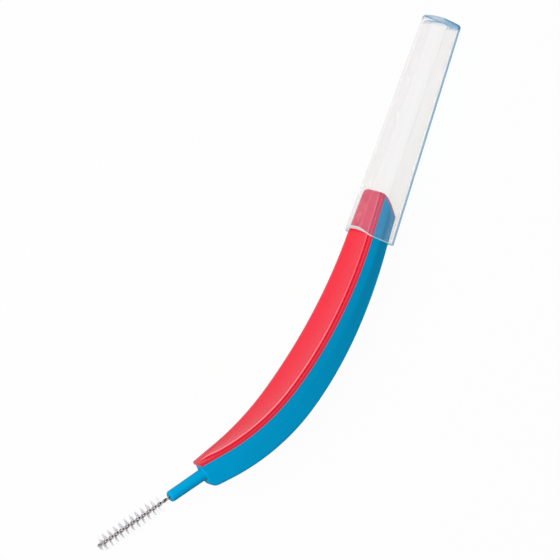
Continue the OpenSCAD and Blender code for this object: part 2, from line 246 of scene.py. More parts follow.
def even_steps(start, end, count):
    """Evenly spaced values from start to end, both included."""
    return [start + (end - start) * step / count for step in range(count + 1)]


def both_sides(half):
    """A full outline from its right half, given from the edge to the middle."""
    return half + [(-side, height) for side, height in reversed(half) if side > 0]


# %% [markdown]
# A finished mesh becomes an object at the origin, with its place in its vertices, so that it
# can be baked and exported. Doubled vertices are merged and faces turned outwards first. Faces
# are shaded smooth, and only edges sharper than a given angle stay crisp. Each piece then rides
# on its body, and the model's nodes that it stands for are hidden.

# %% Finishing a piece
HARD_EDGE = math.radians(38)
MERGE_DISTANCE = 0.0001 * MM


def finish_piece(shape, name, body, finish, nodes):
    """Makes a form into a piece of the part, and lets go of the form."""
    bmesh.ops.remove_doubles(shape, verts=shape.verts[:], dist=MERGE_DISTANCE)
    bmesh.ops.recalc_face_normals(shape, faces=shape.faces[:])
    for face in shape.faces:
        face.smooth = True
    for edge in shape.edges:
        edge.smooth = edge.is_manifold and edge.calc_face_angle(0.0) < HARD_EDGE
    mesh = bpy.data.meshes.new(name)
    shape.to_mesh(mesh)
    shape.free()
    mesh.materials.append(finish)
    piece = bpy.data.objects.new(name, mesh)
    bpy.context.scene.collection.objects.link(piece)
    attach(piece, body)
    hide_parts(*nodes)
    print(f"{name}: {len(mesh.polygons)} faces")


# %% [markdown]
# Materials are node trees. Sums between sockets read best as plain expressions, so one small
# class wraps a socket and turns +, - and * into Math nodes, in both orders. Every other node
# comes from one method, which sets the node's own settings first and its sockets after.

# %% Writing shader maths as sums


class Socket:
    """A node's output that can be summed and multiplied like a number."""

    def __init__(self, finish, socket):
        self.finish = finish
        self.socket = socket

    def maths(self, operation, other, swapped=False):
        pair = (other, self) if swapped else (self, other)
        sockets = dict(enumerate(pair))
        return self.finish.node("ShaderNodeMath", {"operation": operation}, sockets)

    def __add__(self, other):
        return self.maths("ADD", other)

    def __sub__(self, other):
        return self.maths("SUBTRACT", other)

    def __mul__(self, other):
        return self.maths("MULTIPLY", other)

    def __radd__(self, other):
        return self.maths("ADD", other, True)

    def __rsub__(self, other):
        return self.maths("SUBTRACT", other, True)

    def __rmul__(self, other):
        return self.maths("MULTIPLY", other, True)


class Shading:
    """A node tree that is built node by node."""

    def __init__(self, tree):
        self.tree = tree

    def put(self, slot, value):
        """Gives a socket a value, or links another socket to it."""
        if isinstance(value, Socket):
            self.tree.links.new(value.socket, slot)
        else:
            slot.default_value = value

    def node(self, kind, settings=None, sockets=None, out=0):
        """Adds a node and returns one of its outputs."""
        made = self.tree.nodes.new(kind)
        for name, value in (settings or {}).items():
            setattr(made, name, value)
        for name, value in (sockets or {}).items():
            self.put(made.inputs[name], value)
        return Socket(self, made.outputs[out])

    def seen_by(self, *rays):
        """1 for the named kinds of rays as long as no diffuse surface came before, otherwise 0."""
        kinds = [self.node("ShaderNodeLightPath", out=f"Is {ray} Ray") for ray in rays]
        seen = kinds[0]
        for kind in kinds[1:]:
            seen = seen.maths("MAXIMUM", kind)
        scattered = self.node("ShaderNodeLightPath", out="Diffuse Depth")
        return seen * (1 - scattered.maths("MINIMUM", 1.0))


class Finish(Shading):
    """A material, with its surface shader and its output at hand."""

    def __init__(self, name):
        self.material = bpy.data.materials.new(name)
        self.material.use_nodes = True
        super().__init__(self.material.node_tree)
        self.shader = self.tree.nodes["Principled BSDF"]
        self.output = self.tree.nodes["Material Output"]

    def set(self, **sockets):
        """Sets the surface shader's sockets; an underscore stands for a space."""
        for name, value in sockets.items():
            self.put(self.shader.inputs[name.replace("_", " ")], value)

    def noise(self, size, detail):
        """Noise on the object's own coordinates, with features about as large as size."""
        place = self.node("ShaderNodeTexCoord", out="Object")
        sockets = {"Vector": place, "Scale": 1 / size, "Detail": detail}
        return self.node("ShaderNodeTexNoise", {}, sockets)

    def bump(self, height, rise):
        """A normal tilted by a height, which at 1 stands for that rise."""
        sockets = {"Height": height, "Distance": rise, "Strength": 1.0}
        return self.node("ShaderNodeBump", {}, sockets)

    def mark(self, name):
        """A number that the piece's vertices carry."""
        return self.node("ShaderNodeAttribute", {"attribute_name": name}, out="Fac")

    def blend(self, factor, first, second):
        """A colour between two others."""
        sockets = {0: factor, 6: first, 7: second}
        return self.node("ShaderNodeMix", {"data_type": "RGBA"}, sockets, out=2)

    def see_through(self, tint):
        """A clear shader that only colours what is behind it."""
        return self.node("ShaderNodeBsdfTransparent", {}, {"Color": tint})

    def mix(self, factor, first, second):
        """A shader between two others."""
        return self.node("ShaderNodeMixShader", {}, {0: factor, 1: first, 2: second})

    def surface(self):
        """The surface shader, as something to mix with others."""
        return Socket(self, self.shader.outputs[0])

    def show(self, shader):
        """Gives the material that look in place of the plain surface shader."""
        self.put(self.output.inputs["Surface"], shader)

    def tell(self):
        """Prints how large the material has become."""
        print(f"{self.material.name}: {len(self.tree.nodes)} nodes")


def screen_colour(red, green, blue):
    """A colour as a picture stores it, 0 to 255, turned into light."""
    levels = [level / 255 for level in (red, green, blue)]
    light = [v / 12.92 if v <= 0.04045 else ((v + 0.055) / 1.055) ** 2.4 for v in levels]
    return (*light, 1.0)


# %% [markdown]
# Moulded plastic is never one flat colour. The core is a blue plastic with very little gloss:
# its colour drifts slightly over a few millimetres, and a fine grain from the mould's surface
# breaks up the reflection without being seen by itself.

# %% The core's blue plastic
core_finish = Finish("core_blue")
BLUE = screen_colour(0, 144, 192)
BLUE_DEEP = screen_colour(0, 138, 185)
core_drift = core_finish.noise(size=2.6 * MM, detail=3.0)
core_grain = core_finish.noise(size=0.09 * MM, detail=2.0)
core_finish.set(
    Base_Color=core_finish.blend(core_drift, BLUE_DEEP, BLUE),
    Roughness=0.42 + 0.1 * core_grain,
    Normal=core_finish.bump(core_grain, rise=0.0025 * MM),
    Specular_IOR_Level=0.04,
)
core_finish.tell()

# %% [markdown]
# The grip is a soft red elastomer, smoother and glossier than the core, and its gloss grows by
# itself where light grazes it. A pale highlight is painted along the pad's shoulder, and shade is
# painted into the groove round the pad. The material reads where these are from two marks, which
# are numbers that the grip's vertices get when it is made.

# %% The grip's red elastomer
grip_finish = Finish("grip_red")
RED = screen_colour(213, 12, 45)
RED_DEEP = screen_colour(206, 8, 40)
# A pale colour painted along the pad's shoulder as a highlight.
RED_PAINTED_HIGHLIGHT = screen_colour(240, 150, 156)
# A dark colour painted into the groove and onto the flange as shade.
RED_PAINTED_SHADE = screen_colour(122, 6, 30)
HIGHLIGHT_SHARE = 0.8
PAINTED_SHADE_SHARE = 0.82
grip_drift = grip_finish.noise(size=2.2 * MM, detail=3.0)
grip_grain = grip_finish.noise(size=0.12 * MM, detail=3.0)
grip_painted_highlight = grip_finish.mark("painted_highlight")
grip_painted_shade = grip_finish.mark("painted_shade")
grip_plain = grip_finish.blend(grip_drift, RED_DEEP, RED)
grip_shade_painted = grip_finish.blend(grip_painted_shade * PAINTED_SHADE_SHARE, grip_plain, RED_PAINTED_SHADE)
grip_finish.set(
    Base_Color=grip_finish.blend(grip_painted_highlight * HIGHLIGHT_SHARE, grip_shade_painted, RED_PAINTED_HIGHLIGHT),
    Roughness=0.22 + 0.08 * grip_grain,
    Normal=grip_finish.bump(grip_grain, rise=0.003 * MM),
    Specular_IOR_Level=0.42,
)
grip_finish.tell()

# %% [markdown]
# The wire is stainless steel, dulled here and there where the two legs rubbed in the twisting,
# so its tone and roughness vary over short lengths. The outside of the twist is bright. The
# groove between the legs, where little light gets in, is darkened with painted shade, and a mark says
# where it is.

# %% The wire's steel
steel_finish = Finish("wire_steel")
STEEL_DULL = screen_colour(146, 139, 138)
STEEL_BRIGHT = screen_colour(202, 195, 193)
# A dark colour painted as shade into the groove between the legs.
STEEL_PAINTED_SHADE = screen_colour(96, 89, 92)
steel_rub = steel_finish.noise(size=0.15 * MM, detail=3.0)
steel_painted_shade = steel_finish.mark("painted_gap_shade")
steel_plain = steel_finish.blend(steel_rub, STEEL_DULL, STEEL_BRIGHT)
steel_finish.set(
    Base_Color=steel_finish.blend(steel_painted_shade, steel_plain, STEEL_PAINTED_SHADE),
    Metallic=1.0,
    Roughness=0.22 + 0.2 * steel_rub,
)
steel_finish.tell()

# %% [markdown]
# The filaments are pale nylon, thin enough to glow with the light behind them. Each one is solid
# to the eye, with a share of translucent shader in it. Shadow rays pass through almost whole,
# because rods that shade each other fully would make the inside of a fan too dark.

# %% The filaments' nylon
filament_finish = Finish("filament_nylon")
NYLON_DULL = screen_colour(196, 195, 198)
NYLON_PALE = screen_colour(208, 207, 210)
NYLON_GLOW = (0.95, 0.95, 0.96, 1.0)
NYLON_SHADOW = (0.9, 0.9, 0.9, 1.0)
GLOW_SHARE = 0.35
filament_shade = filament_finish.noise(size=0.5 * MM, detail=1.0)
filament_finish.set(
    Base_Color=filament_finish.blend(filament_shade, NYLON_DULL, NYLON_PALE),
    Roughness=0.35,
)
filament_glow = filament_finish.node("ShaderNodeBsdfTranslucent", {}, {"Color": NYLON_GLOW})
filament_body = filament_finish.mix(GLOW_SHARE, filament_finish.surface(), filament_glow)
filament_shadow = filament_finish.node("ShaderNodeLightPath", out="Is Shadow Ray")
filament_clear = filament_finish.see_through(NYLON_SHADOW)
filament_finish.show(filament_finish.mix(filament_shadow, filament_body, filament_clear))
filament_finish.tell()

# %% [markdown]
# The cap is clear plastic. Its wall is thin and bends the view very little, so most of the light
# goes straight through and a small share is bent by real refraction. A fine haze veils what is
# inside. Where a rounded edge turns away from the eye, the light has run a long way inside the
# plastic and comes out bluish: Layer Weight tells how far a face has turned. Marks on the
# vertices say where those edges and the frosted lip are.

# %% The cap's clear plastic
cap_finish = Finish("cap_clear")
CAP_CLEAR = (1.0, 0.985, 0.96, 1.0)
CAP_DEEP = (0.26, 0.46, 0.62, 1.0)
CAP_HAZE = (0.64, 0.62, 1.0, 1.0)
CAP_FROST = (0.5, 0.68, 0.68, 1.0)
CAP_SHADOW = (0.8, 1.0, 1.0, 1.0)
ABSORPTION = {"Color": (0.25, 0.56, 0.76, 1.0), "Density": 22.0}
BENT_SHARE = 0.07
FROST_SHARE = 0.7
EDGE_START = 0.25
EDGE_FULL = 0.37
cap_ripple = cap_finish.noise(size=1.5 * MM, detail=2.0)
cap_grain = cap_finish.noise(size=0.16 * MM, detail=1.0)
cap_edge = cap_finish.mark("edge_depth")
cap_cut = cap_finish.mark("lip_frost")
cap_facing = cap_finish.node("ShaderNodeLayerWeight", {}, {"Blend": 0.5}, out="Facing")
cap_range = {"Value": cap_facing, "From Min": EDGE_START, "From Max": EDGE_FULL}
cap_turned = cap_finish.node("ShaderNodeMapRange", {}, cap_range)
cap_finish.set(
    Base_Color=(1.0, 0.99, 0.97, 1.0),
    Roughness=0.1 + 0.05 * cap_ripple,
    IOR=1.4,
    Specular_IOR_Level=0.2,
    Transmission_Weight=1.0,
)
cap_tint = cap_edge * cap_turned
cap_middle = cap_finish.see_through(CAP_CLEAR)
cap_rim = cap_finish.see_through(CAP_DEEP)
cap_straight = cap_finish.mix(cap_tint, cap_middle, cap_rim)
cap_haze = cap_finish.node("ShaderNodeBsdfDiffuse", {}, {"Color": CAP_HAZE})
cap_frost = cap_finish.node("ShaderNodeBsdfDiffuse", {}, {"Color": CAP_FROST})
cap_clear = cap_finish.mix(BENT_SHARE, cap_straight, cap_finish.surface())
cap_veil = 0.025 + 0.033 * cap_grain
cap_veiled = cap_finish.mix(cap_veil, cap_clear, cap_haze)
cap_surface = cap_finish.mix(FROST_SHARE * cap_cut, cap_veiled, cap_frost)
cap_shadow = cap_finish.node("ShaderNodeLightPath", out="Is Shadow Ray")
cap_shade = cap_finish.see_through(CAP_SHADOW)
cap_finish.show(cap_finish.mix(cap_shadow, cap_surface, cap_shade))
cap_inside = cap_finish.node("ShaderNodeVolumeAbsorption", {}, ABSORPTION)
cap_finish.put(cap_finish.output.inputs["Volume"], cap_inside)
cap_finish.tell()

# %% [markdown]
# The core could be carved from a block or lofted. Lofting follows the moulder: the side wall runs
# down to a crease, then the back tapers in to two rounded edges, and all of it changes slowly
# along the handle. The crease is crisp next to the cap and fades towards the nose.

# %% The core's section
CREASE_DEPTH = 1.5 * MM
CREASE_ROUND = 0.04 * MM
SIDE_DRAFT = 0.03 * MM
BACK_DRAW = 0.56 * MM
BACK_DRAW_AT_NOSE = 0.15 * MM
BACK_RADIUS = 0.55 * MM
FADE_START = 3 * MM
FADE_END = 29 * MM
CREASE_SHARE = 0.4
BACK_RADIUS_SHARE = 0.45
BACK_DRAW_SHARE = 0.3
BACK_STEPS = 8


def core_outline(along):
    """The right half: down the side, over the crease, round the back edge to the middle."""
    half = half_width(along)
    deep = depth(along)
    crease = min(CREASE_DEPTH, CREASE_SHARE * deep)
    radius = min(BACK_RADIUS, BACK_RADIUS_SHARE * half)
    fade = ease(along, FADE_START, FADE_END)
    draw = min(BACK_DRAW + (BACK_DRAW_AT_NOSE - BACK_DRAW) * fade, BACK_DRAW_SHARE * half)
    foot = half - SIDE_DRAFT - draw
    side = [(half, 0.0), (half - SIDE_DRAFT / 2, -crease / 2)]
    side += [(half - SIDE_DRAFT, CREASE_ROUND - crease)]
    slope = draw / (deep - radius - crease)
    facet = [(half - SIDE_DRAFT - slope * CREASE_ROUND, -crease - CREASE_ROUND)]
    facet += [(foot + draw / 2, -(crease + deep - radius) / 2)]
    edge = [
        (foot - radius + radius * math.cos(a), radius - deep - radius * math.sin(a))
        for a in quarter(BACK_STEPS)
    ]
    return side + facet + edge


print("half a section of the core has", len(core_outline(0)), "points")

# %% [markdown]
# Stations lie close together where an end is rounded and evenly in between. The tail's end
# slants: bisect_plane cuts the swept core there, and the cut is filled.

# %% Stations and the slanted end
END_STEPS = 10
RUN_STEPS = 130
NOSE_STEPS = 6
tail_stations = [TAIL_CORNER * (1 - math.cos(a)) - TAIL_LENGTH for a in quarter(END_STEPS)]
run_stations = even_steps(TAIL_CORNER - TAIL_LENGTH, CURVE_LENGTH - HEEL_RADIUS, RUN_STEPS)[1:]
heel_stations = [CURVE_LENGTH - HEEL_RADIUS * (1 - math.sin(a)) for a in quarter(END_STEPS)][1:]
nose_stations = [CURVE_LENGTH + FLANGE_OVERHANG * math.sin(a) for a in quarter(NOSE_STEPS)][1:]
handle_stations = tail_stations + run_stations + heel_stations

SLANT_LENGTH = 2.65 * MM
TOE_LENGTH = 0.35 * MM
TOE_BACK = 0.15 * MM


def swept_section(outline, stations):
    """The sections of a handle form, as points in the row's frame."""
    return [[on_handle(along, *point) for point in both_sides(outline(along))] for along in stations]


def cut_slant(shape, top_gap, back_gap, keep_tail):
    """Cuts along the tail's slant, short of its end by a gap at the top and one at the back."""
    rise = depth(-TAIL_LENGTH)
    top = on_handle(top_gap - TAIL_LENGTH, 0, 0)
    back = on_handle(SLANT_LENGTH + back_gap - TAIL_LENGTH, 0, -rise)
    along_cut = back - top
    outward = Vector((-along_cut.y, along_cut.x, 0))
    if outward.x < 0:
        outward.negate()
    everything = shape.verts[:] + shape.edges[:] + shape.faces[:]
    sides = {"clear_outer": not keep_tail, "clear_inner": keep_tail}
    cut = bmesh.ops.bisect_plane(shape, geom=everything, plane_co=top, plane_no=outward, **sides)
    edges = [item for item in cut["geom_cut"] if isinstance(item, bmesh.types.BMEdge)]
    bmesh.ops.holes_fill(shape, edges=edges, sides=0)


core = bmesh.new()
sweep(core, swept_section(core_outline, handle_stations))
cut_slant(core, TOE_LENGTH, TOE_BACK, keep_tail=False)
print("the core has", len(core.faces), "faces before its neck")

# %% [markdown]
# The neck is turned, so it is spun: half its profile, from the fillet at its root to the rounded
# tip and into the small hole that the wire comes out of, goes once round its axis. The profile
# starts on the axis inside the heel, so the neck is a closed form that is let into the core. A
# fillet wider than the nose would stand out at the sides, so it is pressed flat there.

# %% The neck
NECK_ROOT_RADIUS = 0.88 * MM
NECK_TIP_RADIUS = 0.85 * MM
NECK_LENGTH = 6.4 * MM
NECK_DROP = 1.6 * MM
NECK_ROUND = 0.38 * MM
FILLET_WIDTH = 0.12 * MM
FILLET_LENGTH = 0.3 * MM
HOLE_RADIUS = 0.2 * MM
HOLE_DEPTH = 0.4 * MM
HOLE_ROUND = 0.07 * MM
LET_IN = HEEL_RADIUS / 2
ROUND_STEPS = 6
HOLE_STEPS = 3
NECK_SIDES = 64
neck_root = on_handle(CURVE_LENGTH, 0, -NECK_DROP)
brush_turn = Matrix.Rotation(math.pi - END_TURN, 4, "Z")
along_neck = Matrix.Translation(neck_root) @ brush_turn

fillet = [
    (FILLET_LENGTH * (1 - math.cos(a)), NECK_ROOT_RADIUS + FILLET_WIDTH * (1 - math.sin(a)))
    for a in quarter(ROUND_STEPS)
]
tip_round = [
    (NECK_LENGTH - NECK_ROUND * (1 - math.sin(a)), NECK_TIP_RADIUS - NECK_ROUND * (1 - math.cos(a)))
    for a in quarter(ROUND_STEPS)
]
hole_round = [
    (NECK_LENGTH - HOLE_ROUND * (1 - math.cos(a)), HOLE_RADIUS + HOLE_ROUND * (1 - math.sin(a)))
    for a in quarter(HOLE_STEPS)
]
neck_profile = [(-LET_IN, 0.0), (-LET_IN, NECK_ROOT_RADIUS + FILLET_WIDTH)]
neck_profile += [*fillet, *tip_round, *hole_round]
neck_profile += [(NECK_LENGTH - HOLE_DEPTH, HOLE_RADIUS), (NECK_LENGTH - HOLE_DEPTH, 0.0)]


def join_form(whole, form):
    """Adds one form to another, and lets go of the first."""
    mesh = bpy.data.meshes.new("form")
    form.to_mesh(mesh)
    form.free()
    whole.from_mesh(mesh)
    bpy.data.meshes.remove(mesh)


neck = bmesh.new()
neck_line = [neck.verts.new((along, 0, radius)) for along, radius in neck_profile]
neck_edges = [neck.edges.new(pair) for pair in zip(neck_line, neck_line[1:])]
bmesh.ops.spin(
    neck,
    geom=neck_line + neck_edges,
    cent=(0, 0, 0),
    axis=(1, 0, 0),
    angle=math.tau,
    steps=NECK_SIDES,
    use_merge=True,
)
bmesh.ops.transform(neck, matrix=along_neck, verts=neck.verts[:])
bmesh.ops.recalc_face_normals(neck, faces=neck.faces[:])
nose_half = half_width(CURVE_LENGTH - NOSE_CORNER)
for vert in neck.verts:
    side = vert.co.z - MOUTH.z
    vert.co.z = MOUTH.z + max(-nose_half, min(nose_half, side))
join_form(core, neck)
finish_piece(core, "core_body", "handle", core_finish.material, ["handle_core"])

# %% [markdown]
# The grip is the second shot. From the parting line out, its section has a thin flange with a
# rounded edge, a ledge, a groove that marks the pad's foot, and the raised pad with a rounded
# shoulder and a shallow dish. Near the nose the pad runs down to the flange and ends in a point.

# %% The grip's section
FLANGE = 0.45 * MM
FLANGE_ROUND = 0.08 * MM
LEDGE = 0.5 * MM
PAD_RISE = 0.35 * MM
PAD_ROUND = 0.28 * MM
PAD_DISH = 0.15 * MM
GROOVE = 0.11 * MM
PAD_FADE = 1.6 * MM
PAD_TAPER = 3.4 * MM
PAD_POINT = 0.3
LEAST_FADE = 0.03
FLANGE_ROUND_SHARE = 0.2
LEDGE_SHARE = 0.5
FLANGE_STEPS = 4
VALLEY_STEPS = 6
SHOULDER_STEPS = 7
DISH_STEPS = 7


def grip_outline(along):
    """The right half: up the flange's edge, over the ledge and groove, up and across the pad."""
    half = half_width(along)
    fade = min(1.0, max(LEAST_FADE, (CURVE_LENGTH - along) / PAD_FADE))
    round_edge = min(FLANGE_ROUND, FLANGE_ROUND_SHARE * half)
    foot = half - min(LEDGE, LEDGE_SHARE * half)
    foot *= PAD_POINT + (1 - PAD_POINT) * ease(CURVE_LENGTH - along, 0, PAD_TAPER)
    groove = GROOVE * fade
    radius = PAD_ROUND * fade
    top = FLANGE + PAD_RISE * fade
    dish = PAD_DISH * fade * min(1.0, half / (BELLY_WIDTH / 2))
    flange = [(half, 0.0)]
    flange += [
        (half - round_edge * (1 - math.cos(a)), FLANGE - round_edge * (1 - math.sin(a)))
        for a in quarter(FLANGE_STEPS)
    ]
    valley = [
        (foot + groove * (1 + math.cos(a)), FLANGE - groove * math.sin(a))
        for a in even_steps(0, math.pi, VALLEY_STEPS)
    ]
    shoulder = [
        (foot - radius * (1 - math.cos(a)), top - radius * (1 - math.sin(a)))
        for a in quarter(SHOULDER_STEPS)
    ]
    inner = foot - radius
    hollow = [
        (inner * (1 - u), top - dish * (1 - (1 - u) ** 2))
        for u in even_steps(0, 1, DISH_STEPS)[1:]
    ]
    return flange + valley + shoulder + hollow


grip = bmesh.new()
sweep(grip, swept_section(grip_outline, handle_stations + nose_stations))
print("the grip has", len(grip.faces), "faces before its toe")

# %% [markdown]
# The pad's shoulder gets a painted highlight and the groove gets painted shade. Two numbers on the
# vertices say where that is; the layer called place tells which point of the section a vertex is.
# Both marks grow towards the nose, where the flange gets a little painted shade as well. Each row
# of marks goes to neighbouring places, counted from where the valley or the shoulder starts.

# %% Marking the painted highlight and the painted shade
ring_count = len(both_sides(grip_outline(0)))
VALLEY_START = FLANGE_STEPS + 2
SHOULDER_START = VALLEY_START + VALLEY_STEPS + 1
GROOVE_SHADE_MARKS = dict(enumerate((0.5, 0.9, 1.0, 0.9, 0.5), VALLEY_START + 1))
HIGHLIGHT_MARKS = dict(enumerate((0.25, 0.8, 0.9, 0.5), SHOULDER_START + 2))
HIGHLIGHT_AT_TAIL = 0.35
GROOVE_SHADE_GROWTH = 0.22
FLANGE_PAINTED_SHADE = 0.18
NOSE_RUN = 30 * MM
place = grip.verts.layers.int["place"]
painted_highlight = grip.verts.layers.float.new("painted_highlight")
painted_shade = grip.verts.layers.float.new("painted_shade")
for vert in grip.verts:
    number = min(vert[place], ring_count - 1 - vert[place])
    toward_nose = ease(MOUTH.x - vert.co.x, 0, NOSE_RUN)
    # The painted highlight grows towards the nose.
    highlight_strength = HIGHLIGHT_AT_TAIL + (1 - HIGHLIGHT_AT_TAIL) * toward_nose
    vert[painted_highlight] = HIGHLIGHT_MARKS.get(number, 0.0) * highlight_strength
    # Painted shade in the groove, growing towards the nose, and on the flange near the nose.
    flange_painted_shade = FLANGE_PAINTED_SHADE * toward_nose if number <= VALLEY_START else 0.0
    shade_growth = 1 + GROOVE_SHADE_GROWTH * toward_nose
    vert[painted_shade] = GROOVE_SHADE_MARKS.get(number, 0.0) * shade_growth + flange_painted_shade
marked = [sum(1 for vert in grip.verts if vert[layer] > 0) for layer in (painted_highlight, painted_shade)]
print("vertices marked as worn and as dark:", marked)

# %% [markdown]
# At the tail's end the red material wraps the slant. The toe is the core's own section, swept
# over the tail alone and cut twice: once where the core ends, and once where the toe does. Its
# top is let into the grip by a hair, so that each of the two stays a closed form.

# %% The toe
TOE_LAP = 0.01 * MM
TOE_ROOT = 2 * MM
TOE_STEPS = 10


def toe_outline(along):
    """The core's right half, let a little into the grip that lies on it."""
    top, *rest = core_outline(along)
    return [(top[0] - TOE_LAP, TOE_LAP), *rest]


toe = bmesh.new()
toe_stations = tail_stations + even_steps(TAIL_CORNER - TAIL_LENGTH, -TOE_ROOT, TOE_STEPS)[1:]
sweep(toe, swept_section(toe_outline, toe_stations))
cut_slant(toe, TOE_LENGTH, TOE_BACK, keep_tail=True)
cut_slant(toe, 0.0, 0.0, keep_tail=False)
bmesh.ops.recalc_face_normals(toe, faces=toe.faces[:])
join_form(grip, toe)
finish_piece(grip, "grip_body", "handle", grip_finish.material, ["grip_pad"])

# %% [markdown]
# The wire is one length folded in two: the legs twist round each other, lie close together at the
# neck, stand apart where the filaments pass between them, and meet in a small loop at the tip.
# Its middle line goes out along one leg, round the loop and back along the other.

# %% The wire's path
WIRE_RADIUS = 0.138 * MM
TWIST_PITCH = 2.0 * MM
TWIST_HAND = -1
BRUSH_LENGTH = 13.25 * MM
WIRE_ROOT = 0.9 * MM
LEGS_TOGETHER = 0.128 * MM
LEGS_APART = 0.178 * MM
LOOP_RADIUS = 0.2 * MM
LOOP_LENGTH = 0.55 * MM
SPREAD_START = 0.6 * MM
SPREAD_END = 2.4 * MM
LEG_STEPS = 210
LOOP_STEPS = 12
leg_end = BRUSH_LENGTH - WIRE_RADIUS - LOOP_RADIUS
along_brush = along_neck @ Matrix.Translation((NECK_LENGTH, 0, 0))


def twist_at(along):
    """The legs turn evenly and stop turning in the tip's loop."""
    past = max(0.0, along - leg_end + LOOP_LENGTH)
    even = min(along, leg_end - LOOP_LENGTH)
    return TWIST_HAND * math.tau / TWIST_PITCH * (even + past - past**2 / (2 * LOOP_LENGTH))


def leg_distance(along):
    """How far a leg's middle is from the brush's axis."""
    spread = LEGS_TOGETHER + (LEGS_APART - LEGS_TOGETHER) * ease(along, SPREAD_START, SPREAD_END)
    return spread + (LOOP_RADIUS - LEGS_APART) * ease(along, leg_end - LOOP_LENGTH, leg_end)


def across_brush(turn):
    """A direction at right angles to the brush's axis."""
    return Vector((0, math.cos(turn), math.sin(turn)))


def leg_point(along, side):
    """The middle of one leg or the other, whose side is 1 or -1."""
    return Vector((along, 0, 0)) + leg_distance(along) * side * across_brush(twist_at(along))


def loop_point(angle):
    """The loop's middle, half a turn from one leg to the other."""
    twist = twist_at(leg_end)
    across = LOOP_RADIUS * math.cos(angle)
    along = leg_end + LOOP_RADIUS * math.sin(angle)
    return Vector((along, across * math.cos(twist), across * math.sin(twist)))


leg_steps = even_steps(-WIRE_ROOT, leg_end, LEG_STEPS)
wire_path = [leg_point(along, 1) for along in leg_steps]
wire_path += [loop_point(math.pi * step / LOOP_STEPS) for step in range(1, LOOP_STEPS)]
wire_path += [leg_point(along, -1) for along in reversed(leg_steps)]
print("the wire's path has", len(wire_path), "points")

# %% [markdown]
# A curve object with a round bevel would do, but a swept ring keeps the twist even and the mesh
# light. Each vertex gets a mark for painted shade in the groove between the legs: full near the
# brush's axis, nothing on the outside of the twist, and nothing in the loop, which has no groove.

# %% The twisted wire
WIRE_SIDES = 12
GROOVE_SHARE = 0.6
RIDGE_SHARE = 0.9


def tube_sections(path, radius, sides):
    """Round sections across a path, each turned as little as possible from the one before."""
    sections = []
    across = Vector((0, 0, 1))
    for number, point in enumerate(path):
        ahead = (path[min(len(path) - 1, number + 1)] - path[max(0, number - 1)]).normalized()
        across = (across - across.dot(ahead) * ahead).normalized()
        other = ahead.cross(across)
        angles = [math.tau * side / sides for side in range(sides)]
        turns = [math.cos(a) * across + math.sin(a) * other for a in angles]
        sections.append([point + radius * turn for turn in turns])
    return sections


wire = bmesh.new()
sweep(wire, tube_sections(wire_path, WIRE_RADIUS, WIRE_SIDES))
# How much painted shade each vertex of the wire gets.
painted_gap_shade = wire.verts.layers.float.new("painted_gap_shade")
for vert in wire.verts:
    outward = math.hypot(vert.co.y, vert.co.z) / (leg_distance(vert.co.x) + WIRE_RADIUS)
    twisted = 1 - ease(vert.co.x, leg_end - LOOP_LENGTH, leg_end)
    vert[painted_gap_shade] = twisted * (1 - ease(outward, GROOVE_SHARE, RIDGE_SHARE))
bmesh.ops.transform(wire, matrix=along_brush, verts=wire.verts[:])
finish_piece(wire, "wire_twist", "handle", steel_finish.material, ["wire"])

# %% [markdown]
# A filament is a slim rod of four sides, a little thinner where it is held than at its tip. It
# stands in the gap between the wire's legs and leans out from there, and a matrix puts it in
# place. A seeded generator varies its length. Near the brush's end, where a tip would leave the
# model's box, it is trimmed shorter.

# %% One filament
BRUSH_RADIUS = 1.3 * MM
FILAMENT_RADIUS = 0.03 * MM
ROOT_SHARE = 0.7
SHORTEST_SHARE = 0.95
GAP_ROOT = 0.12 * MM
TRIM = 0.97
chance = random.Random(7)


def in_box(point):
    """Whether a point of the brush lies inside the model's box."""
    placed = along_brush @ point
    rim = 2 * FILAMENT_RADIUS
    return all(low + rim <= value <= high - rim for low, value, high in zip(cad_low, placed, cad_high))


def add_filament(shape, along, turn, lean, gap):
    """Stands one filament in the gap between the legs, which opens at the turn called gap."""
    out = across_brush(turn)
    reach = BRUSH_RADIUS * chance.uniform(SHORTEST_SHARE, 1.0)
    middle = Vector((along, 0, 0))
    while not in_box(middle + reach * out + Vector((lean, 0, 0))):
        reach *= TRIM
    base = middle + GAP_ROOT * across_brush(gap)
    line = middle + reach * out + Vector((lean, 0, 0)) - base
    stand = Matrix.Translation(base + line / 2) @ line.to_track_quat("Z", "Y").to_matrix().to_4x4()
    bmesh.ops.create_cone(
        shape,
        cap_ends=True,
        segments=4,
        radius1=FILAMENT_RADIUS * ROOT_SHARE,
        radius2=FILAMENT_RADIUS,
        depth=line.length,
        matrix=stand,
    )


print("the longest filaments reach", round(BRUSH_RADIUS / MM, 2), "mm from the brush's axis")

# %% [markdown]
# The filaments stick out on both sides of the wire. Where the twist closes, once in each half
# turn, it crowds them into a fan; the few between the fans follow the twist. The brush starts
# thin: its first fans have fewer filaments than the rest. Small differences come from the same
# generator, and each filament has its other half on the far side.

# %% The brush's fans
FAN_SPACING = 0.996 * MM
FIRST_FAN = 1.92 * MM
LAST_FAN = 12.66 * MM
FANS = 12
FAN_FILAMENTS = 44
FULL_FAN = 4
LOOSE_FILAMENTS = 2
FAN_TURN = math.radians(-26)
FAN_HALF = math.radians(25)
FAN_BASE = 0.06 * MM
BASE_SCATTER = 0.1 * FAN_BASE
TURN_SCATTER = 0.02
TIP_SPREAD = 0.05 * MM


def spread_share(number, count):
    """One of a count of places spread evenly between -1 and 1."""
    return 2 * (number + 0.5) / count - 1


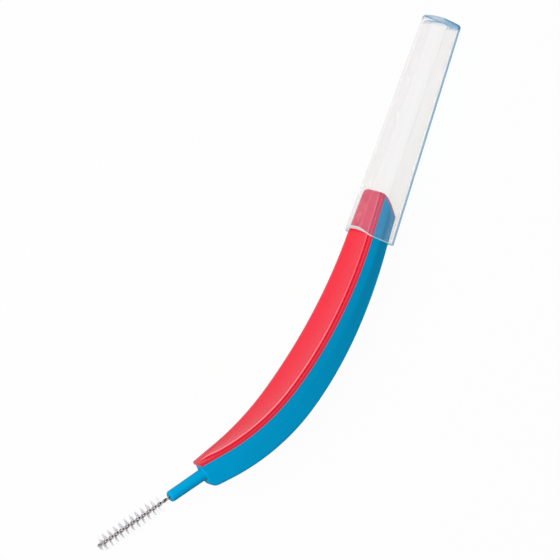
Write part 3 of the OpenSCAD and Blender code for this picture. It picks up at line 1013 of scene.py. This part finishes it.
filaments = bmesh.new()
for fan in range(FANS):
    middle = min(LAST_FAN, FIRST_FAN + fan * FAN_SPACING)
    in_fan = round(FAN_FILAMENTS * min(1.0, (fan + 1) / FULL_FAN) ** 2)
    for number in range(in_fan + LOOSE_FILAMENTS):
        if number < in_fan:
            share = spread_share(number, in_fan)
            along = middle + FAN_BASE * share + chance.gauss(0, BASE_SCATTER)
            turn = FAN_TURN + FAN_HALF * share + chance.gauss(0, TURN_SCATTER)
            gap = FAN_TURN
        else:
            share = spread_share(number - in_fan, LOOSE_FILAMENTS)
            along = min(LAST_FAN, middle + share * FAN_SPACING / 2)
            turn = FAN_TURN + TWIST_HAND * math.pi / 2 * share
            gap = turn
        lean = chance.gauss(0, TIP_SPREAD)
        add_filament(filaments, along, turn, lean, gap)
        add_filament(filaments, along, turn + math.pi, -lean, gap + math.pi)
bmesh.ops.transform(filaments, matrix=along_brush, verts=filaments.verts[:])
finish_piece(filaments, "filaments", "handle", filament_finish.material, ["bristles"])

# %% [markdown]
# The cap is a tapering sleeve with a flat back, flat sides and a crowned face. One outline, with
# an inset that is nothing for the outer skin and the wall's thickness for the inner one, gives
# both skins. The inner skin's rounded edges are tighter by the inset, down to a least radius.

# %% The cap's section
CAP_LENGTH = mouth_high.x - mouth_low.x
CAP_WIDTH = mouth_high.z - mouth_low.z
CAP_THICKNESS = mouth_high.y - mouth_low.y
CAP_END_WIDTH = 5.1 * MM
CAP_END_THICKNESS = 4.8 * MM
CAP_WALL = 0.45 * MM
END_WALL = 0.7 * MM
CROWN_RADIUS = 4.84 * MM
CAP_BACK_RADIUS = 1.15 * MM
CAP_FACE_RADIUS = 0.5 * MM
CAP_END_RADIUS = 0.45 * MM
LIP_RUN = 1.7 * MM
HOLLOW_RADIUS = 0.4 * MM
LEAST_FACE_RADIUS = 0.12 * MM
LEAST_BACK_RADIUS = 0.3 * MM
SIDE_SLOPE = (CAP_WIDTH - CAP_END_WIDTH) / 2 / CAP_LENGTH
BACK_SLOPE = (CAP_THICKNESS - CAP_END_THICKNESS) / 2 / CAP_LENGTH
SIDE_SHARES = (0.33, 0.67)
CROWN_STEPS = 14
FACE_STEPS = 6
CAP_BACK_STEPS = 6


def cap_outline(along, inset):
    """The right half as side and height: the crown, its edge, the side and the back's edge."""
    half = CAP_WIDTH / 2 - SIDE_SLOPE * along - inset
    high = CAP_THICKNESS / 2 - BACK_SLOPE * along - inset
    crown = CROWN_RADIUS - inset
    face = max(CAP_FACE_RADIUS - inset, LEAST_FACE_RADIUS)
    back = max(CAP_BACK_RADIUS - inset, LEAST_BACK_RADIUS)
    middle = high - crown
    reach = math.asin((half - face) / crown)
    start = Vector((crown * math.sin(reach), middle + crown * math.cos(reach)))
    corner = Vector((half, middle + math.sqrt(crown**2 - half**2)))
    end = corner - Vector((0, face))
    arc = [
        (crown * math.sin(a), middle + crown * math.cos(a))
        for a in even_steps(0, reach, CROWN_STEPS)
    ]
    edge = [
        (1 - u) ** 2 * start + 2 * u * (1 - u) * corner + u**2 * end
        for u in even_steps(0, 1, FACE_STEPS)[1:]
    ]
    side = [(half, end.y * (1 - u) + (back - high) * u) for u in SIDE_SHARES]
    turn = [
        (half - back * (1 - math.cos(a)), back - high - back * math.sin(a))
        for a in quarter(CAP_BACK_STEPS)
    ]
    return arc + [tuple(point) for point in edge] + side + turn


def cap_ring(along, inset):
    """One full section of the cap."""
    outline = both_sides(cap_outline(along, inset))
    return [MOUTH + Vector((along, height, side)) for side, height in outline]


print("a section of the cap has", len(cap_ring(0, 0.0)), "points")

# %% [markdown]
# Light bends at both faces of the wall, so the cap needs both skins. They are swept apart, each
# closed at its far end and open at the mouth. The outer skin ends in a rounded edge and a flat
# face. The inner skin stops short of it by the end wall's thickness, and its own edge is
# rounded too, as the moulding pin's end is.

# %% The cap's two skins
CAP_END_STEPS = 7
OUTER, INNER = 1, 0
hollow_end = CAP_LENGTH - END_WALL
cap = bmesh.new()
cap.verts.layers.int.new("skin")
outer_rings = [cap_ring(along, 0.0) for along in (0, LIP_RUN, CAP_LENGTH - 2 * CAP_END_RADIUS)]
outer_rings += [
    cap_ring(CAP_LENGTH - CAP_END_RADIUS * (1 - math.sin(a)), CAP_END_RADIUS * (1 - math.cos(a)))
    for a in quarter(CAP_END_STEPS)
]
outer_mouth = sweep(cap, outer_rings, close_ends=(False, True))
skin = cap.verts.layers.int["skin"]
for vert in cap.verts:
    vert[skin] = OUTER

inner_rings = [cap_ring(along, CAP_WALL) for along in (0, LIP_RUN, hollow_end - 2 * HOLLOW_RADIUS)]
inner_rings += [
    cap_ring(
        hollow_end - HOLLOW_RADIUS * (1 - math.sin(a)),
        CAP_WALL + HOLLOW_RADIUS * (1 - math.cos(a)),
    )
    for a in quarter(CAP_END_STEPS)
]
inner_mouth = sweep(cap, inner_rings, close_ends=(False, True))
print("the cap's two skins have", len(cap.faces), "faces")

# %% [markdown]
# The finger arch is a shallow bay in the crown's side of the mouth. Moving the crown's vertices
# inwards along an arc cuts it with no boolean, less deep on the inner skin, so that the lip
# slopes there. A bridge then joins the two mouths.

# %% The finger arch and the rim
ARCH_WIDTH = 6.2 * MM
ARCH_DEPTH = 0.8 * MM
ARCH_STEP = 0.42 * MM
arch_radius = (ARCH_WIDTH**2 / 4 + ARCH_DEPTH**2) / 2 / ARCH_DEPTH


def arch_at(side, deepest):
    """How far an arch of that depth has moved the mouth's edge, at a distance from the middle."""
    if abs(side) > ARCH_WIDTH / 2:
        return 0.0
    return deepest / ARCH_DEPTH * (ARCH_DEPTH - arch_radius + math.sqrt(arch_radius**2 - side**2))


crown_edge = math.sqrt(CROWN_RADIUS**2 - CAP_WIDTH**2 / 4)
crown_foot = CAP_THICKNESS / 2 - CROWN_RADIUS + crown_edge - CAP_FACE_RADIUS
for loop, deepest in ((outer_mouth, ARCH_DEPTH), (inner_mouth, ARCH_DEPTH - ARCH_STEP)):
    for vert in {vert for edge in loop for vert in edge.verts}:
        if vert.co.y - MOUTH.y > crown_foot:
            vert.co.x += arch_at(vert.co.z - MOUTH.z, deepest)
rim = bmesh.ops.bridge_loops(cap, edges=outer_mouth + inner_mouth)
bmesh.ops.recalc_face_normals(cap, faces=cap.faces[:])
print("the cap's rim has", len(rim["faces"]), "faces")

# %% [markdown]
# A moulded lip is never sharp, and a sharp one would show as a black line in clear plastic, so
# both edges of the rim get a small bevel.

# %% The cap's lip
LIP_RADIUS = 0.15 * MM
bmesh.ops.bevel(
    cap,
    geom=outer_mouth + inner_mouth,
    offset=LIP_RADIUS,
    offset_type="OFFSET",
    affect="EDGES",
    segments=4,
    profile=0.5,
    material=-1,
    clamp_overlap=True,
)
print("the cap has", len(cap.faces), "faces with its lip")

# %% [markdown]
# The material needs to know where the plastic is deep: along the two rounded back edges and all
# round the closed end, and about half as much on the crown and where the hollow ends under it.
# The lip is slightly frosted, so its vertices get a mark as well. Rings lie close together only
# near an end, so short steps along the cap tell an end from the long plain walls.

# %% Marking the cap's edges and its lip
cap_places = len(cap_outline(0, 0.0))
BACK_CORNER = range(cap_places - CAP_BACK_STEPS, cap_places - 2)
CROWN_PLACES = CROWN_STEPS + 1 + FACE_STEPS // 2
CROWN_PART = 0.4
LENS_PART = 0.5
LONG_STEP = 0.5 * MM
END_ZONE = CAP_LENGTH - 1.1 * CAP_END_RADIUS
edge_depth = cap.verts.layers.float.new("edge_depth")
lip_frost = cap.verts.layers.float.new("lip_frost")
cap_place = cap.verts.layers.int["place"]
skin = cap.verts.layers.int["skin"]
for vert in cap.verts:
    number = min(vert[cap_place], 2 * cap_places - 2 - vert[cap_place])
    along = vert.co.x - MOUTH.x
    steps = [abs(edge.verts[0].co.x - edge.verts[1].co.x) for edge in vert.link_edges]
    at_an_end = max(steps) < LONG_STEP
    on_crown = number < CROWN_PLACES
    if at_an_end and along < LIP_RUN / 2:
        vert[lip_frost] = 1.0
    if vert[skin] == OUTER and (number in BACK_CORNER or along > END_ZONE):
        vert[edge_depth] = CROWN_PART if on_crown else 1.0
    elif vert[skin] == INNER and at_an_end and along > CAP_LENGTH / 2 and on_crown:
        vert[edge_depth] = LENS_PART
marked = [sum(1 for vert in cap.verts if vert[layer] > 0) for layer in (edge_depth, lip_frost)]
print("vertices marked as edge and as lip:", marked)
finish_piece(cap, "cap_shell", "cap", cap_finish.material, ["cap"])

# %% [markdown]
# The object lies on a white surface in a white studio. The floor takes a faint shadow; for the
# rays that see it straight, in a reflection or through the cap it is mostly plain white light.

# %% The floor
FLOOR_SIZE = 3.0
FLOOR_GREY = (0.7, 0.7, 0.7, 1.0)
FLOOR_GLOW = (1, 1, 1, 1)
FLOOR_WHITE = 0.96
floor_shape = bmesh.new()
bmesh.ops.create_grid(floor_shape, x_segments=1, y_segments=1, size=FLOOR_SIZE)
floor_mesh = bpy.data.meshes.new("floor")
floor_shape.to_mesh(floor_mesh)
floor_shape.free()
floor = bpy.data.objects.new("floor", floor_mesh)
bpy.context.scene.collection.objects.link(floor)

floor_finish = Finish("floor_white")
floor_finish.set(Base_Color=FLOOR_GREY, Roughness=0.9, Specular_IOR_Level=0.0)
floor_seen = floor_finish.seen_by("Camera", "Glossy", "Transmission")
floor_white = floor_finish.node("ShaderNodeEmission", {}, {"Color": FLOOR_GLOW, "Strength": 1.0})
floor_share = floor_seen * FLOOR_WHITE
floor_finish.show(floor_finish.mix(floor_share, floor_finish.surface(), floor_white))
floor_mesh.materials.append(floor_finish.material)
floor_finish.tell()

# %% [markdown]
# Soft light from a large lamp high on the red side models the faces, and the white world fills
# the rest. The world is brighter for rays that see it directly, so that gloss and clear plastic
# find a white room, while the light it throws stays at a plain level. The lamp itself isn't
# seen in gloss or through the cap, where it would show as a bright square.

# %% World and lamp
world = bpy.data.worlds.new("studio")
bpy.context.scene.world = world
world.use_nodes = True
WORLD_FILL = 0.24
world_shading = Shading(world.node_tree)
world_seen = world_shading.seen_by("Camera", "Glossy", "Transmission")
world_sockets = world.node_tree.nodes["Background"].inputs
world_sockets["Color"].default_value = (1, 1, 1, 1)
world_shading.put(world_sockets["Strength"], WORLD_FILL + (1 - WORLD_FILL) * world_seen)

KEY_DIRECTION = Vector((-0.12, 0.78, 0.61)).normalized()
KEY_DISTANCE = 0.6
KEY_SIZE = 0.5
KEY_POWER = 5.5
lamp = bpy.data.lights.new("key", "AREA")
lamp.size = KEY_SIZE
lamp.energy = KEY_POWER
key = bpy.data.objects.new("key", lamp)
bpy.context.scene.collection.objects.link(key)
key.location = KEY_DIRECTION * KEY_DISTANCE
key.rotation_mode = "QUATERNION"
key.rotation_quaternion = KEY_DIRECTION.to_track_quat("Z", "Y")
key.visible_glossy = False
key.visible_transmission = False
print("the lamp is", KEY_DISTANCE, "m away and", KEY_SIZE, "m wide")

# %% [markdown]
# The photograph looks down on the part at a steep angle, with the cap pointing up in the picture,
# so the camera is rolled. Its three axes are given in the row's frame, as found by fitting lines
# of the object to the picture. The lens follows from the camera's distance and the width of the
# part of the world that the picture shows. One point of the object, a little to the back of the
# middle of the cap's mouth, says where the camera aims, because it is known how far right and
# how far up it lies in the picture.

# %% The camera
PICTURE_RIGHT = Vector((0.32469, -0.75098, 0.57498))
PICTURE_UP = Vector((0.94303, 0.30374, -0.13581))
TOWARDS_CAMERA = Vector((-0.07266, 0.58632, 0.80681))
CAMERA_DISTANCE = 600 * MM
PICTURE_WIDTH = 81.2 * MM
MARK_BACK = 0.75 * MM
MARK_RIGHT = 13.195 * MM
MARK_UP = 5.945 * MM
mark = MOUTH - Vector((0, MARK_BACK, 0))
aim = mark - MARK_RIGHT * PICTURE_RIGHT - MARK_UP * PICTURE_UP

camera_data = bpy.data.cameras.new("camera")
camera = bpy.data.objects.new("camera", camera_data)
bpy.context.scene.collection.objects.link(camera)
camera_data.sensor_width = 36.0
camera_data.lens = camera_data.sensor_width * CAMERA_DISTANCE / PICTURE_WIDTH
camera_data.clip_start = 0.05
camera_data.clip_end = 10.0
roll = Matrix((PICTURE_RIGHT, PICTURE_UP, TOWARDS_CAMERA)).transposed()
camera.matrix_world = Matrix.Translation(aim + CAMERA_DISTANCE * TOWARDS_CAMERA) @ roll.to_4x4()
bpy.context.scene.camera = camera
bpy.context.scene.view_settings.view_transform = "Standard"
print("the camera aims at", [round(v / MM, 2) for v in aim], "mm")
